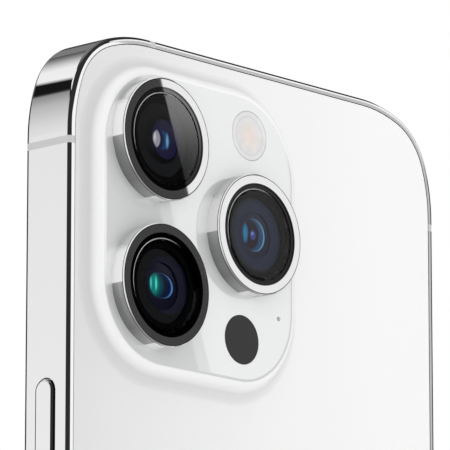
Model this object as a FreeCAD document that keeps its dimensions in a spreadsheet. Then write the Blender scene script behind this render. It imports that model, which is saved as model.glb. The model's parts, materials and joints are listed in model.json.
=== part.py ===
"""A glass and steel smartphone as an assembly of separate pieces.

The phone stands upright on its bottom edge. +Z runs up its length, the rear glass with its three
cameras faces -Y, the display faces +Y, and +X is on the right of a person looking at the rear glass.
The origin is the bottom centre of the box round the whole phone. All sizes are in millimetres.
"""

import FreeCAD, Part

import math
import os

import Sketcher

Vector = FreeCAD.Vector
PARTS_FOLDER = "parts"
ALONG_X = Vector(1, 0, 0)
ALONG_Y = Vector(0, 1, 0)
ALONG_Z = Vector(0, 0, 1)
# How far a cutting shape reaches past what it cuts
OVER = 1.0
# Faces nearer than this lie at the same depth
TOUCHING = 1e-6
GRILLE_HOLES = 4
SCREW_FLUTES = 5

# The driving dimensions. Heights are counted down from the top edge where the name says from_top.
SIZES = {
    # Whole phone
    "body_width": 71.5,
    "body_height": 147.5,
    "body_depth": 7.85,
    "camera_bump": 4.1,
    # Outline corners: a tight arc between two wide ones, so the curve eases into the straights
    "corner_tight": 9.7,
    "corner_wide": 22.0,
    "corner_ease_angle": 20.0,
    # Steel band
    "band_wall": 2.2,
    "band_lip": 1.0,
    "band_round": 0.58,
    "antenna_gap": 0.95,
    "antenna_from_end": 15.83,
    "antenna_from_side": 15.45,
    # Rear glass, colour film and chassis plate
    "glass_inset": 1.06,
    "glass_edge_round": 0.12,
    "back_glass_thick": 0.8,
    "film_thick": 0.1,
    "chassis_thick": 0.6,
    "chassis_gap": 0.05,
    "stack_gap": 0.05,
    "overlap": 0.1,
    # Display stack
    "front_glass_thick": 0.8,
    "seal_thick": 0.1,
    "seal_width": 1.1,
    "panel_thick": 0.9,
    "panel_inset": 2.35,
    "backplate_thick": 0.2,
    "island_length": 20.8,
    "island_radius": 3.05,
    "island_from_top": 8.1,
    "earpiece_slot_length": 11.0,
    "earpiece_slot_width": 0.7,
    "earpiece_mesh_gap": 0.05,
    "earpiece_mesh_rise": 0.2,
    "earpiece_mesh_recess": 0.25,
    # Camera plateau
    "plateau_left": 4.77,
    "plateau_right": 39.78,
    "plateau_from_top": 5.56,
    "plateau_foot_from_top": 43.0,
    "plateau_corner": 10.0,
    "plateau_rise": 2.05,
    "flare_width": 3.4,
    "flare_crest_radius": 1.4,
    # Cameras, flash, distance sensor and rear microphone, from the left edge and from the top
    "tele_from_left": 13.79,
    "tele_from_top": 14.12,
    "main_from_left": 13.79,
    "main_from_top": 33.32,
    "wide_from_left": 31.54,
    "wide_from_top": 23.8,
    "flash_from_left": 31.7,
    "flash_from_top": 10.2,
    "ranger_from_left": 30.2,
    "ranger_from_top": 37.76,
    "rear_mic_from_left": 37.4,
    "rear_mic_from_top": 33.9,
    "flash_radius": 3.3,
    "ranger_radius": 3.23,
    "rear_mic_radius": 0.35,
    "rear_mic_mesh_radius": 0.95,
    "rear_mic_bay_radius": 1.0,
    "bay_gap": 0.1,
    "window_gap": 0.05,
    # Camera trim ring and cover glass
    "ring_radius": 8.03,
    "ring_neck_radius": 7.7,
    "ring_chamfer": 0.13,
    "ring_face_inner": 6.65,
    "ring_seat_radius": 6.15,
    "ring_bore_radius": 5.6,
    "ring_step": 0.1,
    "cover_radius": 6.12,
    "cover_recess": 0.1,
    "cover_bevel_width": 0.32,
    "cover_bevel_drop": 0.14,
    "cover_thick": 0.5,
    # Camera module
    "housing_side": 15.2,
    "housing_depth": 4.85,
    "housing_bore_radius": 5.15,
    "barrel_radius": 5.0,
    "barrel_wall": 0.5,
    "barrel_mouth_radius": 3.3,
    "barrel_below_cover": 0.45,
    "barrel_length": 7.4,
    "front_lens_radius": 3.2,
    "front_lens_thick": 1.6,
    "sensor_width": 11.0,
    "sensor_height": 8.6,
    "sensor_thick": 0.5,
    # Buttons
    "button_proud": 0.45,
    "button_radius": 1.55,
    "button_round": 0.35,
    "button_gap": 0.2,
    "button_stem": 2.7,
    "button_flange_thick": 0.4,
    "button_flange_over": 0.8,
    "side_button_length": 18.6,
    "side_button_from_top": 55.8,
    "volume_button_length": 10.6,
    "volume_up_from_top": 43.4,
    "volume_down_from_top": 57.4,
    "dome_radius": 1.2,
    "dome_thick": 0.5,
    "dome_clearance": 0.5,
    # Silent switch
    "switch_slot_length": 6.2,
    "switch_slot_radius": 1.7,
    "switch_from_top": 31.3,
    "switch_lever_length": 4.4,
    "switch_lever_width": 1.9,
    "switch_lever_reach": 3.2,
    "switch_lever_recess": 0.1,
    "switch_shift": 0.55,
    # Card tray
    "tray_length": 16.4,
    "tray_radius": 1.1,
    "tray_gap": 0.08,
    "tray_face_thick": 1.5,
    "tray_face_recess": 0.02,
    "tray_reach": 20.5,
    "tray_from_top": 84.0,
    "tray_thick": 0.8,
    "tray_rail": 1.6,
    "tray_pin_radius": 0.45,
    "tray_pin_from_end": 1.8,
    # Charging port, screws and grille in the bottom edge
    "port_length": 9.0,
    "port_radius": 1.6,
    "port_wall": 0.3,
    "port_gap": 0.05,
    "port_recess": 0.15,
    "port_floor": 0.45,
    "port_depth": 7.4,
    "tongue_width": 6.7,
    "tongue_thick": 0.7,
    "tongue_reach": 5.0,
    "grille_radius": 0.7,
    "grille_first": 10.2,
    "grille_pitch": 2.45,
    "grille_mesh_margin": 1.2,
    "grille_mesh_thick": 0.3,
    "grille_mesh_gap": 0.03,
    "bottom_screw_radius": 0.8,
    "bottom_screw_from_centre": 7.2,
    "bottom_screw_length": 3.4,
    "bottom_screw_gap": 0.02,
    "bottom_screw_recess": 0.12,
    "flute_radius": 0.19,
    "flute_from_centre": 0.26,
    "flute_depth": 0.5,
    # Charging coil and magnets
    "coil_from_bottom": 68.0,
    "coil_bay_radius": 27.6,
    "magnet_outer": 27.2,
    "magnet_inner": 24.4,
    "coil_outer": 21.5,
    "coil_inner": 8.0,
    "coil_thick": 0.5,
    # Chassis screws
    "board_screw_radius": 0.7,
    "board_screw_length": 1.6,
    "board_screw_inset": 1.6,
    "board_screw_head": 0.2,
    # Haptic motor
    "haptic_wall": 0.4,
}

# Rectangular pieces inside the phone: width, depth and height, then the low corner's X, Y and Z.
BLOCKS = {
    "battery": (42.0, 3.5, 76.0, -31.0, 0.35, 27.0),
    "logic_board": (19.0, 0.8, 60.0, 12.5, 0.35, 74.0),
    "board_shields": (15.0, 1.4, 42.0, 14.5, 1.17, 83.0),
    "card_reader": (19.0, 0.6, 15.8, 12.5, 0.6, 55.6),
    "loudspeaker": (21.0, 3.5, 17.0, 9.5, 0.35, 7.0),
    "earpiece_speaker": (14.0, 2.6, 3.0, -7.0, 1.2, 141.9),
    "front_camera": (6.0, 2.5, 4.8, 3.6, 1.5, 136.9),
    "infrared_modules": (12.0, 2.5, 4.8, -9.6, 1.5, 136.9),
    "haptic_housing": (22.0, 3.5, 12.0, -31.0, 0.35, 9.0),
    "haptic_mass": (14.0, 2.1, 9.6, -27.0, 1.05, 10.2),
    "flash_module": (7.4, 1.2, 6.6, -7.75, -0.9, 134.1),
    "ranger_module": (7.4, 2.6, 7.4, -9.25, -0.9, 106.1),
}
BLOCK_WORDS = ("wide", "deep", "tall", "left", "rear", "foot")

CAMERAS = ("tele", "main", "wide")


def levels():
    """Places along Y, centres in X and Z, and a few sizes that follow from the driving dimensions."""
    half_box = (SIZES["body_depth"] + SIZES["camera_bump"]) / 2
    back = SIZES["camera_bump"] - half_box
    glass_under = back + SIZES["back_glass_thick"]
    film_under = glass_under + SIZES["film_thick"]
    front = back + SIZES["body_depth"]
    glass_rear = front - SIZES["front_glass_thick"]
    seal_rear = glass_rear - SIZES["seal_thick"]
    panel_rear = glass_rear - SIZES["panel_thick"]
    cover_face = SIZES["cover_recess"] - half_box
    cover_under = cover_face + SIZES["cover_thick"]
    barrel_face = cover_under + SIZES["barrel_below_cover"]
    housing_face = film_under + SIZES["stack_gap"]
    half_width = SIZES["body_width"] / 2
    place = {
        "camera_face": -half_box,
        "plateau_face": back - SIZES["plateau_rise"],
        "back_face": back,
        "glass_under": glass_under,
        "film_under": film_under,
        "chassis_under": film_under + SIZES["chassis_thick"],
        "coil_rear": film_under + SIZES["stack_gap"],
        "front_face": front,
        "front_glass_rear": glass_rear,
        "seal_rear": seal_rear,
        "panel_rear": panel_rear,
        "backplate_rear": panel_rear - SIZES["backplate_thick"],
        "mid_depth": (back + front) / 2,
        "cover_face": cover_face,
        "cover_bevel_foot": cover_face + SIZES["cover_bevel_drop"],
        "cover_under": cover_under,
        "ring_chamfer_foot": SIZES["ring_chamfer"] - half_box,
        "ring_step_foot": SIZES["ring_step"] - half_box,
        "ring_foot": glass_under,
        "barrel_face": barrel_face,
        "barrel_foot": barrel_face + SIZES["barrel_length"],
        "lens_foot": barrel_face + SIZES["front_lens_thick"],
        "housing_face": housing_face,
        "housing_foot": housing_face + SIZES["housing_depth"],
        "sensor_rear": housing_face + SIZES["housing_depth"] - SIZES["sensor_thick"],
        "window_foot": glass_under,
        "half_width": half_width,
        "coil_centre": SIZES["coil_from_bottom"],
        "centre_line": 0.0,
    }
    for name in (*CAMERAS, "flash", "ranger", "rear_mic"):
        place[f"{name}_across"] = SIZES[f"{name}_from_left"] - half_width
        place[f"{name}_up"] = SIZES["body_height"] - SIZES[f"{name}_from_top"]
    for name in ("side_button", "volume_up", "volume_down", "switch", "tray", "island"):
        place[f"{name}_up"] = SIZES["body_height"] - SIZES[f"{name}_from_top"]
    return place


doc = FreeCAD.newDocument("Smartphone")
sheet = doc.addObject("Spreadsheet::Sheet", "Sizes")


def fill_sheet():
    """Writes every dimension into the sheet as a plain number in a cell with its own alias."""
    rows = {**SIZES, **levels()}
    for block, values in BLOCKS.items():
        for word, value in zip(BLOCK_WORDS, values):
            rows[f"{block}_{word}"] = value
    for row, (alias, value) in enumerate(rows.items(), start=1):
        sheet.set(f"A{row}", alias)
        sheet.set(f"B{row}", f"{value:.6f}")
        sheet.setAlias(f"B{row}", alias)
    doc.recompute()


def size(alias):
    """The number in the sheet's cell of that alias."""
    return float(getattr(sheet, alias))


def number(formula):
    """The value of a formula: aliases joined by plus and minus signs."""
    total = 0.0
    sign = 1
    for word in formula.split():
        if word in ("+", "-"):
            sign = 1 if word == "+" else -1
        else:
            total += sign * size(word)
    return total


def expression(formula):
    """The same formula as an expression that reads the sheet's cells."""
    return " ".join(word if word in ("+", "-") else f"Sizes.{word}" for word in formula.split())


# --- Parametric bodies ---------------------------------------------------------------------------

pieces = []


def new_body(label, across="centre_line", depth="centre_line", up="centre_line"):
    """An empty body of that label, placed by three formulas."""
    body = doc.addObject("PartDesign::Body", label)
    body.Label = label
    for axis, formula in zip("xyz", (across, depth, up)):
        body.setExpression(f"Placement.Base.{axis}", expression(formula))
    pieces.append(body)
    return body


def new_sketch(body, role):
    """An empty sketch on one of the body's own origin planes."""
    plane = next(item for item in body.Origin.OriginFeatures if item.Role == role)
    sketch = body.newObject("Sketcher::SketchObject", "Profile")
    sketch.AttachmentSupport = [(plane, "")]
    sketch.MapMode = "FlatFace"
    return sketch


def pin_point(sketch, line, end, corner):
    """Fixes one end of a line at two formulas, bound to the sheet."""
    for kind, axis, formula in zip(("DistanceX", "DistanceY"), (-2, -1), corner):
        value = number(formula)
        if value == 0:
            sketch.addConstraint(Sketcher.Constraint("PointOnObject", line, end, axis))
            continue
        index = sketch.addConstraint(Sketcher.Constraint(kind, line, end, value))
        sketch.setExpression(f"Constraints[{index}]", expression(formula))


def polygon_sketch(body, role, corners):
    """A closed sketch of straight lines whose corners are pairs of formulas."""
    sketch = new_sketch(body, role)
    points = [Vector(number(u), number(v), 0) for u, v in corners]
    for start, end in zip(points, points[1:] + points[:1]):
        sketch.addGeometry(Part.LineSegment(start, end), False)
    for line, corner in enumerate(corners):
        following = (line + 1) % len(corners)
        sketch.addConstraint(Sketcher.Constraint("Coincident", line, 2, following, 1))
        pin_point(sketch, line, 1, corner)
    return sketch


def slot_sketch(body, role, length, radius, upright=True):
    """A stadium about the sketch's origin: two straight sides and two half-round ends."""
    sketch = new_sketch(body, role)
    half = number(length) / 2 - number(radius)
    reach = number(radius)

    def spot(along, aside):
        return Vector(aside, along, 0) if upright else Vector(along, -aside, 0)

    turn = math.pi / 2 if upright else 0.0
    near_end = Part.ArcOfCircle(Part.Circle(spot(half, 0), Vector(0, 0, 1), reach),
                                turn - math.pi / 2, turn + math.pi / 2)
    far_end = Part.ArcOfCircle(Part.Circle(spot(-half, 0), Vector(0, 0, 1), reach),
                               turn + math.pi / 2, turn + 3 * math.pi / 2)
    sketch.addGeometry(near_end, False)
    sketch.addGeometry(Part.LineSegment(spot(half, -reach), spot(-half, -reach)), False)
    sketch.addGeometry(far_end, False)
    sketch.addGeometry(Part.LineSegment(spot(-half, reach), spot(half, reach)), False)
    for first in range(4):
        following = (first + 1) % 4
        sketch.addConstraint(Sketcher.Constraint("Tangent", first, 2, following, 1))
    axis = -2 if upright else -1
    sketch.addConstraint(Sketcher.Constraint("PointOnObject", 0, 3, axis))
    sketch.addConstraint(Sketcher.Constraint("Symmetric", 0, 3, 2, 3, -1, 1))
    index = sketch.addConstraint(Sketcher.Constraint("Radius", 0, reach))
    sketch.setExpression(f"Constraints[{index}]", expression(radius))
    kind = "DistanceY" if upright else "DistanceX"
    index = sketch.addConstraint(Sketcher.Constraint(kind, 0, 3, half))
    sketch.setExpression(f"Constraints[{index}]", f"({expression(length)}) / 2 - ({expression(radius)})")
    return sketch


def pad(body, sketch, length, reverse=False):
    """Pads a sketch by a formula."""
    feature = body.newObject("PartDesign::Pad", "Pad")
    feature.Profile = sketch
    feature.setExpression("Length", expression(length))
    feature.Reversed = reverse
    doc.recompute()
    return feature


def turned(label, corners, across="centre_line", up="centre_line"):
    """A body turned about an axis along Y. Its corners are radius and Y, as formulas."""
    body = new_body(label, across=across, up=up)
    sketch = polygon_sketch(body, "XY_Plane", corners)
    feature = body.newObject("PartDesign::Revolution", "Turn")
    feature.Profile = sketch
    feature.ReferenceAxis = (sketch, ["V_Axis"])
    feature.Angle = 360


def block(name):
    """A rectangular piece from its row in the table of blocks."""
    body = new_body(name, f"{name}_left", f"{name}_rear", f"{name}_foot")
    wide, tall = f"{name}_wide", f"{name}_tall"
    corners = [("centre_line", "centre_line"), (wide, "centre_line"), (wide, tall), ("centre_line", tall)]
    sketch = polygon_sketch(body, "XZ_Plane", corners)
    pad(body, sketch, f"{name}_deep", reverse=True)
    return body


# --- Shapes from functions -----------------------------------------------------------------------


def add_piece(label, shape):
    """A sub-part whose shape is made by the functions below."""
    feature = doc.addObject("Part::Feature", label)
    feature.Label = label
    feature.Shape = shape
    feature.Placement = FreeCAD.Placement()
    pieces.append(feature)


def outline(inset, depth):
    """The phone's outline, moved inwards by inset, as a face across Y at that depth."""
    wide = size("corner_wide")
    tight = size("corner_tight")
    ease = math.radians(size("corner_ease_angle"))
    reach = wide - (wide - tight) * (math.cos(ease) - math.sin(ease))
    inner = wide - (wide - tight) * math.cos(ease)
    right_angle = math.pi / 2
    arcs = (
        (wide, reach, wide, 0.0, ease),
        (inner, inner, tight, ease, right_angle - ease),
        (reach, wide, wide, right_angle - ease, right_angle),
    )
    half = size("half_width")
    height = size("body_height")
    edges = []
    for side in (-1, 1):
        for foot, rise in ((0, 1), (height, -1)):
            for from_side, from_end, radius, start, end in arcs:
                angles = (start, (start + end) / 2, end)
                points = []
                for angle in angles:
                    inwards = from_side - (radius - inset) * math.cos(angle)
                    along = from_end - (radius - inset) * math.sin(angle)
                    points.append(Vector(side * (half - inwards), depth, foot + rise * along))
                edges.append(Part.Arc(*points).toShape())
    for side in (-1, 1):
        across = side * (half - inset)
        edges.append(Part.makeLine(Vector(across, depth, reach), Vector(across, depth, height - reach)))
    for level in (inset, height - inset):
        edges.append(Part.makeLine(Vector(reach - half, depth, level), Vector(half - reach, depth, level)))
    return Part.Face(Part.Wire(Part.__sortEdges__(edges)))


def plate(inset, rear, front):
    """A plate of the phone's outline between two depths."""
    return outline(inset, rear).extrude(Vector(0, front - rear, 0))


def disc(radius, across, up, rear, front):
    """A round bar along Y between two depths."""
    return Part.makeCylinder(radius, front - rear, Vector(across, rear, up), ALONG_Y)


def box(left, rear, foot, right, front, top):
    """A box between two corners."""
    return Part.makeBox(right - left, front - rear, top - foot, Vector(left, rear, foot))


def stadium(length, radius, start, direction, lengthways, reach):
    """A bar of stadium section that runs from start along direction. Its long side is lengthways."""
    half = lengthways * (length / 2 - radius)
    aside = direction.cross(lengthways) * radius
    ends = (start + half, start - half)
    bars = [Part.makeCylinder(radius, reach, end, direction) for end in ends]
    corners = [ends[0] + aside, ends[0] - aside, ends[1] - aside, ends[1] + aside, ends[0] + aside]
    middle = Part.Face(Part.makePolygon(corners)).extrude(direction * reach)
    return middle.multiFuse(bars).removeSplitter()


def outer_edges(shape, depth):
    """The edges of a plate's outermost outline at one depth."""
    flat = [face for face in shape.Faces
            if abs(face.BoundBox.YMin - depth) < TOUCHING and abs(face.BoundBox.YMax - depth) < TOUCHING]
    largest = max(flat, key=lambda face: face.BoundBox.DiagonalLength)
    return largest.OuterWire.Edges


# --- Steel band with its antenna breaks ----------------------------------------------------------


def band_blank():
    """The whole band: outside faces, the two lips round the glass and the cavity."""
    solid = plate(0, size("back_face"), size("front_face"))
    edges = outer_edges(solid, size("back_face")) + outer_edges(solid, size("front_face"))
    solid = solid.makeFillet(size("band_round"), edges)
    openings = (
        plate(size("band_lip"), size("back_face") - OVER, size("film_under")),
        plate(size("band_wall"), size("film_under") - size("overlap"), size("seal_rear") + size("overlap")),
        plate(size("band_lip"), size("seal_rear"), size("front_face") + OVER),
    )
    for opening in openings:
        solid = solid.cut(opening)
    return solid


def button_slots():
    """The slots through the band's sides for the buttons, the switch and the tray."""
    half = size("half_width")
    reach = size("band_wall") + 2 * OVER
    gap = size("button_gap")
    radius = size("button_radius") + gap
    rows = (
        (-1, "side_button_up", size("side_button_length") + 2 * gap, radius),
        (1, "volume_up_up", size("volume_button_length") + 2 * gap, radius),
        (1, "volume_down_up", size("volume_button_length") + 2 * gap, radius),
        (1, "switch_up", size("switch_slot_length"), size("switch_slot_radius")),
        (1, "tray_up", size("tray_length"), size("tray_radius")),
    )
    slots = []
    for side, height, length, slot_radius in rows:
        start = Vector(side * (half + OVER), size("mid_depth"), size(height))
        slots.append(stadium(length, slot_radius, start, Vector(-side, 0, 0), ALONG_Z, reach))
    return slots


def bottom_holes():
    """The port, the two screw holes and the rows of round holes in the bottom edge."""
    mid = size("mid_depth")
    reach = size("band_wall") + 2 * OVER
    gap = size("port_gap")
    holes = [stadium(size("port_length") + 2 * gap, size("port_radius") + gap, Vector(0, mid, -OVER),
                     ALONG_Z, ALONG_X, reach)]
    screw_hole = size("bottom_screw_radius") + size("bottom_screw_gap")
    for side in (-1, 1):
        screw = Vector(side * size("bottom_screw_from_centre"), mid, -OVER)
        holes.append(Part.makeCylinder(screw_hole, reach, screw, ALONG_Z))
        for step in range(GRILLE_HOLES):
            across = side * (size("grille_first") + step * size("grille_pitch"))
            start = Vector(across, mid, -OVER)
            holes.append(Part.makeCylinder(size("grille_radius"), reach, start, ALONG_Z))
    return holes


def antenna_boxes():
    """The slices where plastic takes the place of steel: two on each side, one at each end."""
    half = size("half_width")
    height = size("body_height")
    gap = size("antenna_gap") / 2
    rear = size("back_face") - OVER
    front = size("front_face") + OVER
    wall = size("band_wall")
    boxes = []
    for side in (-1, 1):
        left, right = sorted((side * (half + OVER), side * (half - wall)))
        for up in (size("antenna_from_end"), height - size("antenna_from_end")):
            boxes.append(box(left, rear, up - gap, right, front, up + gap))
    across = half - size("antenna_from_side")
    boxes.append(box(-across - gap, rear, height - wall, -across + gap, front, height + OVER))
    boxes.append(box(across - gap, rear, -OVER, across + gap, front, wall))
    return boxes


def segment_name(solid):
    """The name of a band segment, from where its middle lies."""
    centre = solid.CenterOfMass
    middle = size("body_height") / 2
    side = "left" if centre.x < 0 else "right"
    if abs(centre.z - middle) < middle / 2:
        return f"band_{side}_side"
    end = "top" if centre.z > middle else "bottom"
    return f"band_{end}_{side}"


def add_band():
    """Six steel segments and the six plastic breaks between them."""
    band = band_blank()
    for hole in button_slots() + bottom_holes():
        band = band.cut(hole)
    boxes = antenna_boxes()
    breaks = [solid for item in boxes for solid in band.common(item).Solids]
    add_piece("antenna_breaks", Part.makeCompound(breaks))
    steel = band.cut(boxes)
    for solid in steel.Solids:
        add_piece(segment_name(solid), solid)


# --- Rear glass ----------------------------------------------------------------------------------


def flare_profile():
    """The plateau's edge in section, as points outwards and upwards: two tangent arcs."""
    rise = size("plateau_rise")
    width = size("flare_width")
    turn = 2 * math.atan2(rise, width)
    crest = size("flare_crest_radius")
    foot = width / math.sin(turn) - crest
    arcs = []
    for radius, centre_out, centre_up, facing in ((crest, 0, rise - crest, 1), (foot, width, foot, -1)):
        points = []
        for angle in (0, turn / 2, turn):
            out = centre_out + facing * radius * math.sin(angle)
            up = centre_up + facing * radius * math.cos(angle)
            points.append((out, up))
        arcs.append(points)
    return arcs[0], arcs[1][::-1]


def flare_face(inner, origin, outwards):
    """The flare's section as a face: it reaches inwards by inner and outwards to its foot."""
    crest, foot = flare_profile()

    def spot(point):
        out, up = point
        return origin + outwards * out - ALONG_Y * up

    sunk = -size("back_glass_thick")
    edges = [
        Part.Arc(*[spot(point) for point in crest]).toShape(),
        Part.Arc(*[spot(point) for point in foot]).toShape(),
        Part.makeLine(spot(foot[2]), spot((foot[2][0], sunk))),
        Part.makeLine(spot((foot[2][0], sunk)), spot((-inner, sunk))),
        Part.makeLine(spot((-inner, sunk)), spot((-inner, crest[0][1]))),
        Part.makeLine(spot((-inner, crest[0][1])), spot(crest[0])),
    ]
    return Part.Face(Part.Wire(edges))


def plateau():
    """The raised island under the cameras, with its flared edge all round."""
    radius = size("plateau_corner")
    left = size("plateau_left") - size("half_width") + radius
    right = size("plateau_right") - size("half_width") - radius
    top = size("body_height") - size("plateau_from_top") - radius
    bottom = size("body_height") - size("plateau_foot_from_top") + radius
    back = size("back_face")
    solids = [box(left, size("plateau_face"), bottom, right, size("glass_under"), top)]
    spans = (
        (Vector(right + radius, back, bottom), ALONG_X, ALONG_Z * (top - bottom)),
        (Vector(left - radius, back, bottom), -ALONG_X, ALONG_Z * (top - bottom)),
        (Vector(left, back, top + radius), ALONG_Z, ALONG_X * (right - left)),
        (Vector(left, back, bottom - radius), -ALONG_Z, ALONG_X * (right - left)),
    )
    for origin, outwards, run in spans:
        solids.append(flare_face(radius, origin, outwards).extrude(run))
    for across, up, start in ((right, top, 0), (left, top, 90), (left, bottom, 180), (right, bottom, 270)):
        centre = Vector(across, back, up)
        outwards = Vector(math.cos(math.radians(start)), 0, math.sin(math.radians(start)))
        face = flare_face(radius, centre + outwards * radius, outwards)
        solids.append(face.revolve(centre, -ALONG_Y, 90))
    return solids[0].multiFuse(solids[1:]).removeSplitter()


def add_back_glass():
    """The rear glass: a thin sheet with the plateau on it and holes for what looks through it."""
    sheet_glass = plate(size("glass_inset"), size("back_face"), size("glass_under"))
    edges = outer_edges(sheet_glass, size("back_face"))
    sheet_glass = sheet_glass.makeFillet(size("glass_edge_round"), edges)
    glass = sheet_glass.fuse(plateau()).removeSplitter()
    gap = size("window_gap")
    holes = [(name, size("ring_neck_radius") + gap) for name in CAMERAS]
    holes += [(name, size(f"{name}_radius") + gap) for name in ("flash", "ranger")]
    holes.append(("rear_mic", size("rear_mic_radius")))
    for name, radius in holes:
        across, up = size(f"{name}_across"), size(f"{name}_up")
        glass = glass.cut(disc(radius, across, up, size("camera_face"), size("chassis_under")))
    add_piece("back_glass", glass)


def add_rear_plates():
    """The white colour film under the glass and the chassis plate under the film."""
    film = plate(size("glass_inset"), size("glass_under"), size("film_under"))
    chassis = plate(size("band_wall") + size("chassis_gap"), size("film_under"), size("chassis_under"))
    rear, front = size("camera_face"), size("mid_depth")
    gap = size("bay_gap")
    reach = size("housing_side") / 2 + gap
    for name in CAMERAS:
        across, up = size(f"{name}_across"), size(f"{name}_up")
        film = film.cut(disc(size("ring_neck_radius"), across, up, rear, front))
        chassis = chassis.cut(box(across - reach, rear, up - reach, across + reach, front, up + reach))
    for name in ("flash", "ranger"):
        left, foot = size(f"{name}_module_left"), size(f"{name}_module_foot")
        right = left + size(f"{name}_module_wide")
        top = foot + size(f"{name}_module_tall")
        across, up = size(f"{name}_across"), size(f"{name}_up")
        film = film.cut(disc(size(f"{name}_radius"), across, up, rear, front))
        chassis = chassis.cut(box(left - gap, rear, foot - gap, right + gap, front, top + gap))
    across, up = size("rear_mic_across"), size("rear_mic_up")
    microphone = disc(size("rear_mic_bay_radius"), across, up, rear, front)
    film = film.cut(microphone)
    chassis = chassis.cut(microphone)
    chassis = chassis.cut(disc(size("coil_bay_radius"), 0, size("coil_centre"), rear, front))
    add_piece("back_color_film", film)
    add_piece("chassis_plate", chassis)


# --- Cameras and what else looks out of the plateau ----------------------------------------------


def add_camera(name):
    """One camera: trim ring, cover glass, housing, focusing barrel with its front lens, and sensor."""
    across, up = f"{name}_across", f"{name}_up"
    turned(f"{name}_camera_ring", [
        ("ring_bore_radius", "ring_foot"),
        ("ring_neck_radius", "ring_foot"),
        ("ring_neck_radius", "plateau_face"),
        ("ring_radius", "plateau_face"),
        ("ring_radius", "ring_chamfer_foot"),
        ("ring_radius - ring_chamfer", "camera_face"),
        ("ring_face_inner", "camera_face"),
        ("ring_face_inner", "ring_step_foot"),
        ("ring_seat_radius", "ring_step_foot"),
        ("ring_seat_radius", "cover_under"),
        ("ring_bore_radius", "cover_under"),
    ], across, up)
    turned(f"{name}_cover_glass", [
        ("centre_line", "cover_face"),
        ("cover_radius - cover_bevel_width", "cover_face"),
        ("cover_radius", "cover_bevel_foot"),
        ("cover_radius", "cover_under"),
        ("centre_line", "cover_under"),
    ], across, up)
    turned(f"{name}_focus_barrel", [
        ("barrel_mouth_radius", "barrel_face"),
        ("barrel_radius", "barrel_face"),
        ("barrel_radius", "barrel_foot"),
        ("barrel_radius - barrel_wall", "barrel_foot"),
        ("barrel_radius - barrel_wall", "lens_foot"),
        ("barrel_mouth_radius", "lens_foot"),
    ], across, up)
    turned(f"{name}_front_lens", [
        ("centre_line", "barrel_face + window_gap"),
        ("front_lens_radius", "barrel_face + barrel_wall"),
        ("front_lens_radius", "lens_foot"),
        ("centre_line", "lens_foot"),
    ], across, up)
    reach = size("housing_side") / 2
    x, z = size(across), size(up)
    rear, chip_rear, front = size("housing_face"), size("sensor_rear"), size("housing_foot")
    housing = box(x - reach, rear, z - reach, x + reach, front, z + reach)
    housing = housing.cut(disc(size("housing_bore_radius"), x, z, rear - OVER, chip_rear))
    half_wide, half_tall = size("sensor_width") / 2, size("sensor_height") / 2
    chip = box(x - half_wide, chip_rear, z - half_tall, x + half_wide, front, z + half_tall)
    add_piece(f"{name}_camera_housing", housing.cut(chip))
    return chip


def add_cameras():
    """The three cameras, and their image sensors as one node."""
    chips = [add_camera(name) for name in CAMERAS]
    add_piece("image_sensors", Part.makeCompound(chips))


def add_windows():
    """The flash window, the distance sensor's window and the rear microphone's mesh."""
    for name in ("flash", "ranger"):
        radius = f"{name}_radius"
        turned(f"{name}_window", [
            ("centre_line", "plateau_face"),
            (radius, "plateau_face"),
            (radius, "window_foot"),
            ("centre_line", "window_foot"),
        ], f"{name}_across", f"{name}_up")
    across, up = size("rear_mic_across"), size("rear_mic_up")
    mesh = disc(size("rear_mic_mesh_radius"), across, up, size("glass_under"), size("film_under"))
    add_piece("rear_mic_mesh", mesh)


# --- Display -------------------------------------------------------------------------------------


def island(rear, front, smaller=0.0):
    """The sensor island's stadium between two depths, smaller all round by that much."""
    start = Vector(0, rear, size("island_up"))
    length = size("island_length") - 2 * smaller
    return stadium(length, size("island_radius") - smaller, start, ALONG_Y, ALONG_X, front - rear)


def add_display():
    """Cover glass, seal, panel, backplate, island and earpiece mesh."""
    inset = size("glass_inset")
    half_slot = size("earpiece_slot_length") / 2
    slot_foot = size("body_height") - inset - size("earpiece_slot_width")
    glass_rear, front = size("front_glass_rear"), size("front_face")
    glass = plate(inset, glass_rear, front)
    glass = glass.makeFillet(size("glass_edge_round"), outer_edges(glass, front))
    slot = box(-half_slot, glass_rear - OVER, slot_foot, half_slot, front + OVER, size("body_height"))
    add_piece("display_glass", glass.cut(slot))
    seal = plate(inset, size("seal_rear"), glass_rear)
    seal = seal.cut(plate(inset + size("seal_width"), size("seal_rear") - OVER, glass_rear + OVER))
    add_piece("display_seal", seal)
    panel_rear, backplate_rear = size("panel_rear"), size("backplate_rear")
    window = island(backplate_rear - OVER, glass_rear + OVER)
    panel = plate(size("panel_inset"), panel_rear, glass_rear)
    add_piece("display_panel", panel.cut(window))
    backplate = plate(size("panel_inset"), backplate_rear, panel_rear)
    add_piece("display_backplate", backplate.cut(window))
    add_piece("sensor_island", island(panel_rear, glass_rear, size("window_gap")))
    gap = size("earpiece_mesh_gap")
    half_mesh = half_slot - gap
    mesh = box(-half_mesh, glass_rear + size("earpiece_mesh_rise"), slot_foot + gap,
               half_mesh, front - size("earpiece_mesh_recess"), slot_foot + size("earpiece_slot_width"))
    add_piece("earpiece_mesh", mesh)


# --- Buttons, switch and tray --------------------------------------------------------------------


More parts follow.
